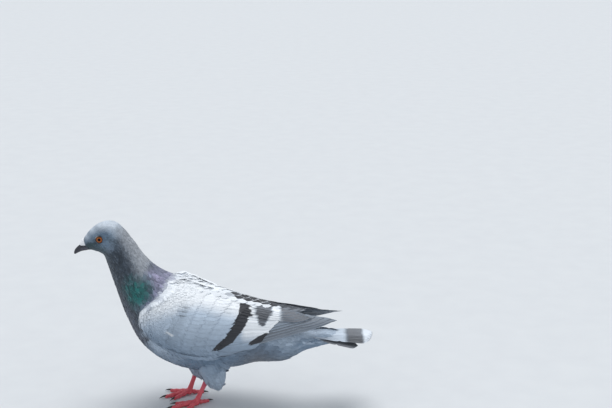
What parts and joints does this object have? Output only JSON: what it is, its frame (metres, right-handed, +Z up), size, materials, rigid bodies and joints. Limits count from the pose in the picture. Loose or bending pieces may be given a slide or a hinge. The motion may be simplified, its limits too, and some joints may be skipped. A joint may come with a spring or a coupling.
{
  "type": "rock pigeon",
  "caption": "Still life-size model of a standing blue-bar rock pigeon with folded wings, closed tail and both feet on the ground",
  "frame": {"origin": "on the floor, below the centre of the bird's bounding box", "axes": "+X points to the bill, +Y to the bird's left, +Z up; the bird stands on the plane z = 0"},
  "size_m": [0.3083, 0.0954, 0.1965],
  "materials": {
    "plumage_head": "soft slate blue-grey feathers",
    "plumage_neck": "dark feathers with a green and purple sheen",
    "plumage_body": "soft blue-grey feathers",
    "plumage_wing": "pale blue-grey vanes with two dark bars",
    "plumage_tail": "blue-grey vanes with a dark band",
    "plumage_thigh": "soft pale blue-grey feathers",
    "scaled_skin": "horny red scales",
    "claw_horn": "dark horn",
    "bill_horn": "dark horn",
    "cere_skin": "powdery white skin",
    "eye": "wet orange iris with a dark pupil"
  },
  "bodies": {
    "root": {"torso": "plumage_body", "neck": "plumage_neck", "head": "plumage_head", "eye_left": "eye", "eye_right": "eye", "bill_upper": "bill_horn", "bill_lower": "bill_horn", "cere": "cere_skin", "wing_left": "plumage_wing", "wing_right": "plumage_wing", "tail": "plumage_tail", "thigh_left": "plumage_thigh", "tarsus_left": "scaled_skin", "toe_left_1": "scaled_skin", "claw_left_1": "claw_horn", "toe_left_2": "scaled_skin", "claw_left_2": "claw_horn", "toe_left_3": "scaled_skin", "claw_left_3": "claw_horn", "toe_left_4": "scaled_skin", "claw_left_4": "claw_horn", "thigh_right": "plumage_thigh", "tarsus_right": "scaled_skin", "toe_right_1": "scaled_skin", "claw_right_1": "claw_horn", "toe_right_2": "scaled_skin", "claw_right_2": "claw_horn", "toe_right_3": "scaled_skin", "claw_right_3": "claw_horn", "toe_right_4": "scaled_skin", "claw_right_4": "claw_horn"}
  },
  "joints": []
}
